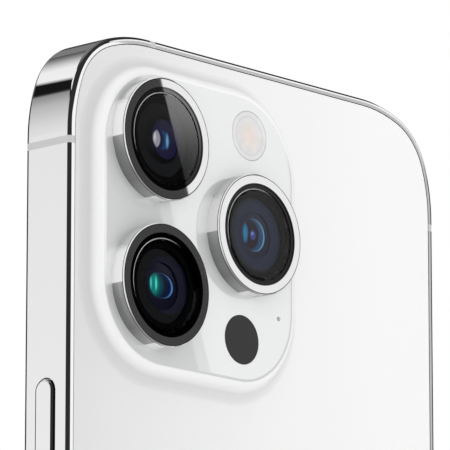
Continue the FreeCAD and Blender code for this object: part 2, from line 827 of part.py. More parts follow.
def add_button(label, side, length, up):
    """A push button: a rounded cap and stem in the band's slot, and a flange that stops inside it."""
    facing = "half_width + button_proud - button_stem"
    body = new_body(label, facing, "mid_depth", up)
    sketch = slot_sketch(body, "YZ_Plane", length, "button_radius")
    stem = pad(body, sketch, "button_stem", reverse=False)
    outer = [f"Edge{index}" for index, edge in enumerate(stem.Shape.Edges, start=1)
             if abs(edge.BoundBox.XMin - size("button_stem")) < TOUCHING]
    fillet = body.newObject("PartDesign::Fillet", "Round")
    fillet.Base = (stem, outer)
    fillet.setExpression("Radius", "Sizes.button_round")
    doc.recompute()
    flange_length = f"{length} + button_flange_over + button_flange_over"
    flange_sketch = slot_sketch(body, "YZ_Plane", flange_length, "button_radius")
    pad(body, flange_sketch, "button_flange_thick", reverse=True)
    if side < 0:
        body.Placement.Rotation = FreeCAD.Rotation(ALONG_Z, 180)
        body.setExpression("Placement.Base.x", f"-({expression(facing)})")


def add_switch():
    """The silent switch's lever, seen in its slot, shifted towards the display."""
    foot = size("half_width") - size("switch_lever_reach")
    start = Vector(foot, size("mid_depth") + size("switch_shift"), size("switch_up"))
    reach = size("switch_lever_reach") - size("switch_lever_recess")
    width = size("switch_lever_width") / 2
    lever = stadium(size("switch_lever_length"), width, start, ALONG_X, ALONG_Z, reach)
    add_piece("silent_switch", lever)


def add_tray():
    """The card tray: a face that fills its slot, two rails and a floor with the card's opening."""
    half = size("half_width")
    mid = size("mid_depth")
    up = size("tray_up")
    gap = size("tray_gap")
    face_foot = half - size("tray_face_thick")
    face = stadium(size("tray_length") - 2 * gap, size("tray_radius") - gap,
                   Vector(face_foot, mid, up), ALONG_X, ALONG_Z,
                   size("tray_face_thick") - size("tray_face_recess"))
    pin = Vector(face_foot - OVER, mid, up - size("tray_length") / 2 + size("tray_pin_from_end"))
    pin_reach = size("tray_face_thick") + 2 * OVER
    face = face.cut(Part.makeCylinder(size("tray_pin_radius"), pin_reach, pin, ALONG_X))
    half_tall = size("tray_length") / 2 - size("tray_radius")
    half_thick = size("tray_thick") / 2
    left = half - size("tray_reach")
    foot, top = up - half_tall, up + half_tall
    floor = box(left, mid - half_thick, foot, face_foot + size("overlap"), mid + half_thick, top)
    rail = size("tray_rail")
    card = box(left + rail, mid - OVER, foot + rail, face_foot - rail, mid + OVER, top - rail)
    add_piece("card_tray", face.fuse(floor.cut(card)).removeSplitter())


def add_dome_switches():
    """One dome switch behind each push button."""
    inner = number("half_width + button_proud - button_stem - button_flange_thick - dome_clearance")
    domes = []
    for side, up in ((-1, "side_button_up"), (1, "volume_up_up"), (1, "volume_down_up")):
        start = Vector(side * inner, size("mid_depth"), size(up))
        domes.append(Part.makeCylinder(size("dome_radius"), size("dome_thick"), start, Vector(-side, 0, 0)))
    add_piece("button_dome_switches", Part.makeCompound(domes))


# --- Bottom edge ---------------------------------------------------------------------------------


def add_port():
    """The charging port's shell with its tongue."""
    mid = size("mid_depth")
    depth = size("port_depth")
    wall = size("port_wall")
    recess = size("port_recess")
    foot = Vector(0, mid, recess)
    shell = stadium(size("port_length"), size("port_radius"), foot, ALONG_Z, ALONG_X, depth)
    top = recess + depth - size("port_floor")
    hollow = stadium(size("port_length") - 2 * wall, size("port_radius") - wall, Vector(0, mid, -OVER),
                     ALONG_Z, ALONG_X, top + OVER)
    add_piece("charging_port_shell", shell.cut(hollow))
    half_wide, half_thick = size("tongue_width") / 2, size("tongue_thick") / 2
    tongue = box(-half_wide, mid - half_thick, top - size("tongue_reach"), half_wide, mid + half_thick, top)
    add_piece("charging_port_tongue", tongue)


def add_bottom_screws():
    """The two screws beside the port, each with a five-flute recess."""
    radius = size("bottom_screw_radius")
    screws = []
    for side in (-1, 1):
        across = side * size("bottom_screw_from_centre")
        foot = Vector(across, size("mid_depth"), size("bottom_screw_recess"))
        screw = Part.makeCylinder(radius, size("bottom_screw_length"), foot, ALONG_Z)
        for flute in range(SCREW_FLUTES):
            angle = 2 * math.pi * flute / SCREW_FLUTES
            aside = Vector(math.cos(angle), math.sin(angle), 0) * size("flute_from_centre")
            start = foot + aside - ALONG_Z * OVER
            cutter = Part.makeCylinder(size("flute_radius"), size("flute_depth") + OVER, start, ALONG_Z)
            screw = screw.cut(cutter)
        screws.append(screw)
    add_piece("bottom_screws", Part.makeCompound(screws))


def add_grille_meshes():
    """The dust meshes behind the two rows of holes."""
    margin = size("grille_mesh_margin")
    span = (GRILLE_HOLES - 1) * size("grille_pitch") + 2 * margin
    first = size("grille_first") - margin
    foot = size("band_wall") + size("grille_mesh_gap")
    top = foot + size("grille_mesh_thick")
    mid = size("mid_depth")
    meshes = []
    for side in (-1, 1):
        left, right = sorted((side * first, side * (first + span)))
        meshes.append(box(left, mid - margin, foot, right, mid + margin, top))
    add_piece("grille_meshes", Part.makeCompound(meshes))


# --- Inside --------------------------------------------------------------------------------------


def add_charging():
    """The ring of magnets and the charging coil inside it."""
    rows = (("magnet_ring", "magnet_outer", "magnet_inner"), ("charging_coil", "coil_outer", "coil_inner"))
    for label, outer, inner in rows:
        turned(label, [
            (inner, "coil_rear"),
            (outer, "coil_rear"),
            (outer, "coil_rear + coil_thick"),
            (inner, "coil_rear + coil_thick"),
        ], up="coil_centre")


def add_board():
    """The logic board with its screw holes, and the four screws that hold it."""
    body = block("logic_board")
    left, foot, rear = (size(f"logic_board_{word}") for word in ("left", "foot", "rear"))
    right = left + size("logic_board_wide")
    top = foot + size("logic_board_tall")
    inset = size("board_screw_inset")
    head = rear - size("board_screw_head")
    screws = []
    sketch = new_sketch(body, "XZ_Plane")
    for across in (left + inset, right - inset):
        for up in (foot + inset, top - inset):
            centre = Vector(across - left, up - foot, 0)
            radius = size("board_screw_radius") + size("window_gap")
            sketch.addGeometry(Part.Circle(centre, Vector(0, 0, 1), radius), False)
            screws.append(disc(size("board_screw_radius"), across, up, head,
                               head + size("board_screw_length")))
    drill = body.newObject("PartDesign::Pocket", "ScrewHoles")
    drill.Profile = sketch
    drill.Type = 1
    drill.Midplane = True
    doc.recompute()
    add_piece("board_screws", Part.makeCompound(screws))


def add_haptics():
    """The haptic motor's housing, hollow, and the mass that swings in it."""
    left, rear, foot = (size(f"haptic_housing_{word}") for word in ("left", "rear", "foot"))
    right = left + size("haptic_housing_wide")
    front = rear + size("haptic_housing_deep")
    top = foot + size("haptic_housing_tall")
    wall = size("haptic_wall")
    shell = box(left, rear, foot, right, front, top)
    shell = shell.cut(box(left + wall, rear + wall, foot + wall, right - wall, front - wall, top - wall))
    add_piece("haptic_housing", shell)
    block("haptic_mass")


def check_pieces():
    """Stops if any object failed, or if any piece is missing, hollow or broken."""
    doc.recompute()
    for item in doc.Objects:
        if any(word in item.State for word in ("Invalid", "Error")):
            raise RuntimeError(f"{item.Label} failed: {item.State}")
    for piece in pieces:
        if piece.Shape.isNull() or not piece.Shape.isValid() or not piece.Shape.Solids:
            raise RuntimeError(f"{piece.Label} has no valid shape")


def export_pieces():
    """Writes each piece to its own file."""
    os.makedirs(PARTS_FOLDER, exist_ok=True)
    for piece in pieces:
        piece.Shape.exportStep(os.path.join(PARTS_FOLDER, f"{piece.Label}.step"))
    print(f"{len(pieces)} pieces written")


fill_sheet()
add_band()
add_back_glass()
add_rear_plates()
add_cameras()
add_windows()
add_display()
add_button("side_button", -1, "side_button_length", "side_button_up")
add_button("volume_up_button", 1, "volume_button_length", "volume_up_up")
add_button("volume_down_button", 1, "volume_button_length", "volume_down_up")
add_switch()
add_tray()
add_dome_switches()
add_port()
add_bottom_screws()
add_grille_meshes()
add_charging()
add_board()
add_haptics()
for name in ("battery", "board_shields", "card_reader", "loudspeaker", "earpiece_speaker", "front_camera",
             "infrared_modules", "flash_module", "ranger_module"):
    block(name)
check_pieces()
export_pieces()
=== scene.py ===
"""Looks for the smartphone: materials, studio light, fine lens pieces and the camera.

Everything is in metres in the phone's own frame: +Z up its length, the rear glass faces -Y, the
display faces +Y, and +X is on the right of a person looking at the rear glass.
"""

import json
import math

import bmesh
import bpy
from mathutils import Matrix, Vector


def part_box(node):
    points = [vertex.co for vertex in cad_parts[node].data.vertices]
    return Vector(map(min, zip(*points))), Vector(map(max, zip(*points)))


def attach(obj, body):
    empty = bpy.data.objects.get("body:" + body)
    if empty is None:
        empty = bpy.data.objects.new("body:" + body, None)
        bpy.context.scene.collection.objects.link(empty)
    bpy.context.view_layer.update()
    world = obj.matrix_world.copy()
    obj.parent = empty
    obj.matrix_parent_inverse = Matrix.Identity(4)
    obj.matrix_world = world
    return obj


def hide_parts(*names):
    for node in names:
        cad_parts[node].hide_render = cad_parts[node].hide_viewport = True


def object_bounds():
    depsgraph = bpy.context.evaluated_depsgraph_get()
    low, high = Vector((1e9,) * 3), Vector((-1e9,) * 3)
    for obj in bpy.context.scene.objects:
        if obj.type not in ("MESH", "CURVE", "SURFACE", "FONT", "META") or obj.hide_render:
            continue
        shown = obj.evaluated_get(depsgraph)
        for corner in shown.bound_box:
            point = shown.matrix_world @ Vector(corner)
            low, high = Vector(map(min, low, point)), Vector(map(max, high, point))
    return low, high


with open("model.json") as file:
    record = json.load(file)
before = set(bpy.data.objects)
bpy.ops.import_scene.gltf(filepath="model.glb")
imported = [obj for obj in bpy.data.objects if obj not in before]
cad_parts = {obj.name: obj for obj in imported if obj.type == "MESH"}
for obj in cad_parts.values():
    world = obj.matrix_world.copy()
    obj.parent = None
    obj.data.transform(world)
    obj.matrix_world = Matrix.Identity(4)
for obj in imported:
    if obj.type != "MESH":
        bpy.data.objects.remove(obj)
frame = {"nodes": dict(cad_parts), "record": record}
cad_box = [list(corner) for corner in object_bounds()]
nodes = frame["nodes"]

MM = 0.001
DEGREES = 180 / math.pi


# --- Node helpers --------------------------------------------------------------------------------


class Tree:
    """A short way to build a node tree."""

    def __init__(self, tree):
        self.tree = tree
        tree.nodes.clear()

    def put(self, socket, value):
        """Links a socket to another one, or sets its value."""
        if isinstance(value, bpy.types.NodeSocket):
            self.tree.links.new(value, socket)
        else:
            socket.default_value = value

    def add(self, kind, inputs=None, **settings):
        """A node of that kind. inputs maps a socket's name or number to a value or a socket."""
        node = self.tree.nodes.new(kind)
        for name, value in settings.items():
            setattr(node, name, value)
        for name, value in (inputs or {}).items():
            self.put(node.inputs[name], value)
        return node

    def maths(self, operation, first, second=0.0, third=None):
        """The result of one Math node."""
        inputs = {0: first, 1: second}
        if third is not None:
            inputs[2] = third
        return self.add("ShaderNodeMath", inputs, operation=operation).outputs[0]

    def both(self, first, second):
        """The product: two masks at once."""
        return self.maths("MULTIPLY", first, second)

    def either(self, first, second):
        """The larger of two masks."""
        return self.maths("MAXIMUM", first, second)

    def outside(self, mask):
        """1 where the mask is 0."""
        return self.maths("SUBTRACT", 1.0, mask)

    def ramp(self, factor, stops):
        """A colour ramp. stops are pairs of place and grey value or colour."""
        node = self.add("ShaderNodeValToRGB", {"Fac": factor})
        elements = node.color_ramp.elements
        while len(elements) < len(stops):
            elements.new(0.5)
        for element, (place, tone) in zip(elements, stops):
            element.position = place
            element.color = tone if isinstance(tone, tuple) else grey(tone)
        return node.outputs["Color"]

    def smooth(self, value, start, end):
        """A smooth step from 0 at start to 1 at end. It falls when start is above end."""
        inputs = {"Value": value, "From Min": start, "From Max": end}
        node = self.add("ShaderNodeMapRange", inputs, interpolation_type="SMOOTHSTEP")
        return node.outputs["Result"]

    def band(self, value, low, high, soft):
        """1 between low and high and 0 outside."""
        return self.both(self.smooth(value, low - soft, low + soft),
                         self.smooth(value, high + soft, high - soft))

    def mix(self, factor, first, second, blend="MIX"):
        """A colour mix."""
        node = self.add("ShaderNodeMix", data_type="RGBA", blend_type=blend)
        for number, value in ((0, factor), (6, first), (7, second)):
            self.put(node.inputs[number], value)
        return node.outputs[2]

    def blend_shaders(self, factor, first, second):
        """A mix of two shaders."""
        return self.add("ShaderNodeMixShader", {0: factor, 1: first, 2: second}).outputs[0]

    def object_place(self):
        """The place in the phone's frame."""
        return self.add("ShaderNodeTexCoord").outputs["Object"]

    def normal(self):
        """The surface normal."""
        return self.add("ShaderNodeNewGeometry").outputs["Normal"]

    def split(self, vector):
        """A vector's X, Y and Z."""
        return self.add("ShaderNodeSeparateXYZ", {0: vector}).outputs

    def noise(self, vector, scale, **more):
        """Fine noise around 0.5."""
        inputs = {"Vector": vector, "Scale": scale, **more}
        return self.add("ShaderNodeTexNoise", inputs).outputs["Fac"]


def grey(tone):
    """A grey as a colour."""
    return (tone, tone, tone, 1.0)


def new_material(name):
    """An empty node material, as (material, tree)."""
    material = bpy.data.materials.new(name)
    material.use_nodes = True
    return material, Tree(material.node_tree)


def finish_surface(tree, surface, output="ShaderNodeOutputMaterial"):
    """Joins a shader to the output."""
    tree.put(tree.add(output).inputs["Surface"], surface)


def speckled(name, color, roughness, metallic=0.0, scale=1500.0, spread=0.05, bump=0.0, **shader):
    """A material whose tone and roughness vary finely: for metal, plastic, film and board."""
    material, tree = new_material(name)
    noise = tree.noise(tree.object_place(), scale, Detail=3.0)
    dark = tuple(channel * (1 - spread) for channel in color) + (1.0,)
    light = tuple(min(1.0, channel * (1 + spread)) for channel in color) + (1.0,)
    inputs = {
        "Base Color": tree.mix(noise, dark, light),
        "Roughness": tree.maths("MULTIPLY_ADD", noise, roughness * 0.3, roughness * 0.85),
        "Metallic": metallic,
    }
    inputs.update(shader)
    if bump:
        height = {"Height": noise, "Strength": bump, "Distance": 0.02 * MM}
        inputs["Normal"] = tree.add("ShaderNodeBump", height).outputs["Normal"]
    finish_surface(tree, tree.add("ShaderNodeBsdfPrincipled", inputs).outputs[0])
    return material


# --- Studio light --------------------------------------------------------------------------------

# Directions of the studio in degrees. Azimuth 0 is straight out of the rear glass and 90 is +X.
# The tones of the room at each elevation
ROOM_STOPS = [(-60, 0.3), (-30, 0.3), (-6, 0.03), (60, 0.03), (80, 0.2)]
# Two low fills at the sides, which show only from other sides than the photo's
FILL_TONE = 0.55
FILL_LOW = -42.0
FILL_HIGH = 3.0
RIGHT_FILL = (60.0, 116.0)
LEFT_FILL = (-98.0, -60.0)
# The far side is grey high up. Azimuths there count from 0 to 360.
FAR_TONE = 0.22
FAR_START = 136.0
FAR_END = 230.0
# The glow on the far side, which the band's top left corner mirrors
GLOW_START = 158.0
GLOW_END = 257.0
GLOW_LOW = 40.0
GLOW_HIGH = 54.0
GLOW_STOPS = [(GLOW_START, 0.07), (170.0, 0.3), (189.0, 0.86), (195.0, 1.0)]
# The left side light, which the band's left edge mirrors: its tones at each elevation, with a
# black bar. Its left end leans above the level that the camera looks along.
SIDE_STOPS = [(-50, 0.1), (-12, 0.24), (2, 0.9), (9, 0.99), (13, 0.93), (20.4, 0.75), (27.5, 0.56),
              (32.8, 0.28), (33.1, 0.01), (37.5, 0.01), (37.8, 1.02)]
SIDE_LEFT = -140.5
SIDE_LEAN = 0.55
SIDE_RIGHT = -101.0
LEVEL_VIEW = 12.67
# The round key light over the rear glass: its direction and the cosine of its half width
KEY_TONE = 1.1
KEY_DIRECTION = (0.463, -0.457, 0.759)
KEY_COSINE = 0.74
KEY_SOFT = 0.02
# It ends at KEY_TOP, right of KEY_RIGHT when below KEY_LOW, and left of KEY_LEFT when above it
KEY_TOP = 37.0
KEY_RIGHT = 50.4
KEY_LEFT = 45.0
KEY_LOW = 16.0
# The small grey card in the key light: a strip, and what lies over a leaning line
CARD_TONE = 0.6
CARD_LEFT = 49.1
CARD_RIGHT = 50.4
CARD_TOP = 15.6
CARD_OVER_RIGHT = 49.3
CARD_LINE_AZIMUTH = 46.74
CARD_LINE_ELEVATION = 14.63
CARD_LINE_SLOPE = 0.268
# The narrow dark flag left of a leaning edge in the key light
FLAG_TONE = 0.066
FLAG_LEFT = 45.88
FLAG_TOP = 14.6
EDGE_AZIMUTH = 46.68
EDGE_ELEVATION = 14.38
EDGE_SLOPE = 0.25
EDGE_SOFT = 0.006
# Half the width of the soft rims of the card and the flag
CARD_SOFT = 0.1
FLAG_SOFT = 0.01
# The even light on matt surfaces, from the -X side to the +X side
MATT_STOPS = [(0.0, 1.0), (1.0, 1.12)]


def by_elevation(tree, elevation, stops):
    """A ramp whose places are elevations in degrees."""
    factor = tree.maths("MULTIPLY_ADD", elevation, 1 / 180, 0.5)
    return tree.ramp(factor, [(angle / 180 + 0.5, tone) for angle, tone in stops])


def add_fills(tree, color, azimuth, elevation):
    """The two low side fills."""
    sides = tree.either(tree.band(azimuth, *RIGHT_FILL, 3.0), tree.band(azimuth, *LEFT_FILL, 3.0))
    fills = tree.both(sides, tree.band(elevation, FILL_LOW, FILL_HIGH, 2.0))
    return tree.mix(fills, color, grey(FILL_TONE))


def add_far_side(tree, color, azimuth, elevation):
    """The far side: grey high up, with a glow in it."""
    turned = tree.maths("WRAP", azimuth, 360.0, 0.0)
    far = tree.both(tree.band(turned, FAR_START, FAR_END, 2.0), tree.smooth(elevation, 26.0, 33.0))
    color = tree.mix(far, color, grey(FAR_TONE))
    stops = [(angle / 360, tone) for angle, tone in GLOW_STOPS]
    glow = tree.ramp(tree.maths("MULTIPLY", turned, 1 / 360), stops)
    lit = tree.both(tree.band(turned, GLOW_START, GLOW_END, 0.4),
                    tree.band(elevation, GLOW_LOW, GLOW_HIGH, 1.0))
    return tree.mix(lit, color, glow)


def add_side_light(tree, color, azimuth, elevation):
    """The left side light, up to the glow."""
    above = tree.maths("MAXIMUM", tree.maths("SUBTRACT", elevation, LEVEL_VIEW), 0.0)
    leaning = tree.maths("MULTIPLY_ADD", above, SIDE_LEAN, azimuth)
    side = tree.both(tree.smooth(leaning, SIDE_LEFT - 1, SIDE_LEFT + 1),
                     tree.smooth(azimuth, SIDE_RIGHT + 3, SIDE_RIGHT - 3))
    side = tree.both(side, tree.smooth(elevation, GLOW_LOW + 3, GLOW_LOW + 1))
    return tree.mix(side, color, by_elevation(tree, elevation, SIDE_STOPS))


def key_mask(tree, direction, azimuth, elevation):
    """Where the key light is."""
    facing = tree.add("ShaderNodeVectorMath", {0: direction, 1: KEY_DIRECTION},
                      operation="DOT_PRODUCT").outputs["Value"]
    key = tree.smooth(facing, KEY_COSINE - KEY_SOFT, KEY_COSINE + KEY_SOFT)
    right = tree.both(tree.smooth(azimuth, KEY_RIGHT - 0.1, KEY_RIGHT + 0.1),
                      tree.smooth(elevation, KEY_LOW + 0.5, KEY_LOW - 0.5))
    left = tree.both(tree.smooth(azimuth, KEY_LEFT + 1, KEY_LEFT - 1),
                     tree.smooth(elevation, KEY_LOW + 0.5, KEY_LOW + 2))
    top = tree.smooth(elevation, KEY_TOP - 1, KEY_TOP + 1)
    return tree.both(key, tree.outside(tree.either(left, tree.either(right, top))))


def card_mask(tree, azimuth, elevation):
    """Where the grey card is."""
    strip = tree.band(azimuth, CARD_LEFT, CARD_RIGHT, CARD_SOFT)
    fall = -CARD_LINE_ELEVATION - CARD_LINE_SLOPE * CARD_LINE_AZIMUTH
    line = tree.maths("MULTIPLY_ADD", azimuth, CARD_LINE_SLOPE, fall)
    above_line = tree.smooth(tree.maths("ADD", elevation, line), -FLAG_SOFT, FLAG_SOFT)
    over = tree.both(tree.band(azimuth, FLAG_LEFT, CARD_OVER_RIGHT, CARD_SOFT), above_line)
    below_top = tree.smooth(elevation, CARD_TOP + CARD_SOFT, CARD_TOP - CARD_SOFT)
    return tree.both(tree.either(strip, over), below_top)


def flag_mask(tree, azimuth, elevation):
    """Where the dark flag is."""
    edge = tree.maths("MULTIPLY_ADD", elevation, -EDGE_SLOPE,
                      EDGE_AZIMUTH + EDGE_SLOPE * EDGE_ELEVATION)
    before_edge = tree.smooth(tree.maths("SUBTRACT", azimuth, edge), EDGE_SOFT, -EDGE_SOFT)
    after_left = tree.smooth(azimuth, FLAG_LEFT - FLAG_SOFT, FLAG_LEFT + FLAG_SOFT)
    below_top = tree.smooth(elevation, FLAG_TOP + FLAG_SOFT, FLAG_TOP - FLAG_SOFT)
    return tree.both(tree.both(after_left, before_edge), below_top)


def make_world():
    """A dark studio with side lights, a round key light, a grey card and a dark flag."""
    world = bpy.data.worlds.new("Studio")
    bpy.context.scene.world = world
    world.use_nodes = True
    tree = Tree(world.node_tree)
    direction = tree.add("ShaderNodeTexCoord").outputs["Generated"]
    parts = tree.split(direction)
    away = tree.maths("MULTIPLY", parts["Y"], -1.0)
    azimuth = tree.maths("MULTIPLY", tree.maths("ARCTAN2", parts["X"], away), DEGREES)
    elevation = tree.maths("MULTIPLY", tree.maths("ARCSINE", parts["Z"]), DEGREES)

    color = by_elevation(tree, elevation, ROOM_STOPS)
    color = add_fills(tree, color, azimuth, elevation)
    color = add_far_side(tree, color, azimuth, elevation)
    color = add_side_light(tree, color, azimuth, elevation)
    key = key_mask(tree, direction, azimuth, elevation)
    color = tree.mix(key, color, grey(KEY_TONE))
    color = tree.mix(tree.both(card_mask(tree, azimuth, elevation), key), color, grey(CARD_TONE))
    color = tree.mix(flag_mask(tree, azimuth, elevation), color, grey(FLAG_TONE))

    # Matt surfaces are lit evenly, and the background is white
    evenly = tree.ramp(tree.maths("MULTIPLY_ADD", parts["X"], 0.5, 0.5), MATT_STOPS)
    path = tree.add("ShaderNodeLightPath").outputs
    color = tree.mix(path["Is Diffuse Ray"], color, evenly)
    color = tree.mix(path["Is Camera Ray"], color, grey(1.0))
    background = tree.add("ShaderNodeBackground", {"Color": color, "Strength": 1.0})
    finish_surface(tree, background.outputs[0], "ShaderNodeOutputWorld")


FLOOR_RADIUS = 0.15
FLOOR_DROP = 0.05 * MM


def make_floor():
    """A small pale round floor under the phone."""
    mesh = bmesh.new()
    bmesh.ops.create_circle(mesh, cap_ends=True, radius=FLOOR_RADIUS, segments=96)
    data = bpy.data.meshes.new("floor")
    mesh.to_mesh(data)
    mesh.free()
    floor = bpy.data.objects.new("floor", data)
    floor.location.z = cad_box[0][2] - FLOOR_DROP
    bpy.context.scene.collection.objects.link(floor)
    paint = speckled("floor_paint", (0.86, 0.86, 0.86), 0.6, scale=300.0, spread=0.01)
    data.materials.append(paint)


# The camera looks along these angles, in degrees, at a point on the rear glass
VIEW_AZIMUTH = 47.45
VIEW_ELEVATION = LEVEL_VIEW
VIEW_DISTANCE = 0.6492
TARGET_ASIDE = -6.54 * MM
TARGET_FROM_TOP = 22.31 * MM
BACK_GLASS_THICK = 0.8 * MM
LENS_LENGTH = 396.6
SENSOR_WIDTH = 36.0


def make_camera():
    """The camera: low on the left of the rear glass, looking slightly upwards."""
    azimuth = math.radians(VIEW_AZIMUTH)
    elevation = math.radians(VIEW_ELEVATION)
    ahead = Vector((math.sin(azimuth) * math.cos(elevation),
                    math.cos(azimuth) * math.cos(elevation), math.sin(elevation)))
    target = Vector((TARGET_ASIDE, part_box("back_glass")[1][1] - BACK_GLASS_THICK,
                     cad_box[1][2] - TARGET_FROM_TOP))
    camera = bpy.data.objects.new("camera", bpy.data.cameras.new("camera"))
    camera.data.lens = LENS_LENGTH
    camera.data.sensor_width = SENSOR_WIDTH
    camera.data.clip_start = 0.01
    camera.data.clip_end = 10.0
    camera.location = target - ahead * VIEW_DISTANCE
    camera.rotation_euler = ahead.to_track_quat("-Z", "Y").to_euler()
    bpy.context.scene.collection.objects.link(camera)
    bpy.context.scene.camera = camera


# --- Materials -----------------------------------------------------------------------------------


def from_axis(tree, parts, centre):
    """The distance from an axis along Y through centre."""
    across = tree.maths("SUBTRACT", parts["X"], centre[0])
    up = tree.maths("SUBTRACT", parts["Z"], centre[1])
    squares = tree.maths("MULTIPLY_ADD", across, across, tree.maths("MULTIPLY", up, up))
    return tree.maths("SQRT", squares)


def painted_reflection_ramp(tree, up, centre, low, high):
    """A painted reflection ramp: the share of light a camera's coated cover mirrors, low at its
    foot and high at its head.
    """
    rise = tree.smooth(up, centre[1] - 5.0 * MM, centre[1] + 6.0 * MM)
    return tree.maths("MULTIPLY_ADD", tree.maths("POWER", rise, 1.5), high - low, low)


def flattened(tree, parts, centre, share=1.0):
    """The surface normal, turned straight out of the rear on the right of a camera's axis."""
    aside = tree.smooth(parts["X"], centre[0] - 0.5 * MM, centre[0] + 1.5 * MM)
    blend = tree.add("ShaderNodeMix", {0: tree.both(aside, share), 4: tree.normal(),
                                       5: (0.0, -1.0, 0.0)}, data_type="VECTOR")
    return tree.add("ShaderNodeVectorMath", {0: blend.outputs[1]}, operation="NORMALIZE").outputs[0]


# Radii and depths on a trim ring. Depths count from its front face.
BLACK_RADIUS = 6.78 * MM
EDGE_LINE = (7.8 * MM, 7.9 * MM)
CHAMFER_RADIUS = 7.9 * MM
CHAMFER_DEPTH = 0.13 * MM
GROOVE_DEPTHS = (0.15 * MM, 0.26 * MM)
FINE = 0.01 * MM
# Angles round a ring in degrees, from +X towards +Z, of the wall's painted shade, the wall's
# painted highlights and the chamfer's painted highlight
SHADED_WALL = (185.5, 256.0)
WALL_PAINTED_HIGHLIGHTS = (150.0, 275.0)
CHAMFER_PAINTED_HIGHLIGHT = (95.0, 212.0)
# The tones of the wall's painted shade, from 180 to 270 degrees
SHADOW_STOPS = [(0.06, 0.52), (0.25, 0.34), (0.55, 0.24), (0.8, 0.4)]
MIRROR_ROUGHNESS = 0.008


def ring_steel(name, centre, low, high):
    """A trim ring's steel: a mirror face, a wall with painted highlights and painted shade, and
    black gloss inside with a painted reflection.
    """
    material, tree = new_material(name)
    coordinates = tree.object_place()
    parts = tree.split(coordinates)
    normal = tree.split(tree.normal())
    radius = from_axis(tree, parts, centre)
    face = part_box("tele_camera_ring")[0][1]
    around = tree.maths("MULTIPLY", tree.maths("ARCTAN2", normal["Z"], normal["X"]), DEGREES)
    around = tree.maths("WRAP", around, 360.0, 0.0)
    wall = tree.smooth(normal["Y"], -0.3, -0.1)
    above_chamfer_foot = tree.smooth(parts["Y"], face + CHAMFER_DEPTH + FINE,
                                     face + CHAMFER_DEPTH - FINE)

    # Two fine dark lines: the face's outer edge, and a groove round the wall
    edge = tree.both(tree.band(radius, *EDGE_LINE, FINE),
                     tree.smooth(parts["Y"], face + 3 * FINE, face + FINE))
    groove = tree.band(parts["Y"], face + GROOVE_DEPTHS[0], face + GROOVE_DEPTHS[1], 2 * FINE)
    groove = tree.both(groove, tree.smooth(radius, 7.6 * MM, 7.8 * MM))
    line = tree.either(edge, groove)

    grain = tree.noise(coordinates, 3000.0)
    satin = tree.maths("MULTIPLY_ADD", grain, 0.05, 0.2)
    face_color = tree.mix(grain, (0.73, 0.73, 0.735, 1.0), (0.75, 0.75, 0.755, 1.0))
    # Painted shade on the wall's lower left, and painted white highlights beside it, on the left
    # and at the bottom
    shaded = tree.band(around, *SHADED_WALL, 0.7)
    shadow = tree.ramp(tree.maths("MULTIPLY_ADD", around, 1 / 90, -2.0), SHADOW_STOPS)
    wall_tone_and_painted_light = tree.mix(shaded, grey(0.95), shadow)
    pale = tree.both(tree.band(around, *WALL_PAINTED_HIGHLIGHTS, 6.0), tree.outside(shaded))
    # The chamfer's left side is painted: a painted highlight on its upper left and painted shade on
    # its lower left
    chamfer = tree.both(tree.smooth(radius, CHAMFER_RADIUS, CHAMFER_RADIUS + FINE),
                        above_chamfer_foot)
    left_chamfer = tree.both(chamfer, tree.smooth(normal["X"], 0.1, -0.2))
    chamfer_painted_light = tree.mix(tree.band(around, *CHAMFER_PAINTED_HIGHLIGHT, 14.0), grey(0.25), grey(0.9))

    # Paints the wall's shade and highlights and the chamfer's highlight into the steel's colour
    color = tree.mix(wall, face_color, wall_tone_and_painted_light)
    color = tree.mix(left_chamfer, color, chamfer_painted_light)
    color = tree.mix(line, color, grey(0.03))
    # The wall's painted highlights and the painted left of the chamfer are matt, not metal
    matt = tree.either(tree.both(pale, wall), left_chamfer)
    roughness = tree.mix(tree.either(wall, left_chamfer), grey(MIRROR_ROUGHNESS), satin)

    # Inside, down to just below the ledge, the ring is black gloss with the cover glass's painted
    # reflection ramp
    black = tree.smooth(radius, BLACK_RADIUS + FINE, BLACK_RADIUS - FINE)
    inner = tree.both(painted_reflection_ramp(tree, parts["Z"], centre, low, high), above_chamfer_foot)
    surface = tree.add("ShaderNodeBsdfPrincipled", {
        "Base Color": tree.mix(black, color, inner),
        "Roughness": tree.mix(black, roughness, grey(MIRROR_ROUGHNESS)),
        "Metallic": tree.outside(matt),
        "Normal": flattened(tree, parts, centre, black),
    })
    finish_surface(tree, surface.outputs[0])
    return material


# Painted shade across the rear glass: its tones from the darker -X side to the +X side
PAINTED_SHADE_STOPS = [(0.0, 0.79), (0.1, 0.83), (0.5, 0.93), (0.85, 0.985)]
# Painted light up the plateau's flare, from the rear glass to the plateau's top: painted shade near
# its foot, lighter towards its crest
FLARE_PAINTED_LIGHT_STOPS = [(0.0, 0.96), (0.1, 0.90), (0.3, 0.88), (0.5, 1.0)]
PLATEAU_COLOR = (0.83, 0.838, 0.842, 1.0)
PLATEAU_MIRROR = 0.19
# The plateau's two faint mirror images lean this much towards +X
PLATEAU_LEANS = (0.00218, 0.00335)
SECOND_LEAN_SHARE = 0.45


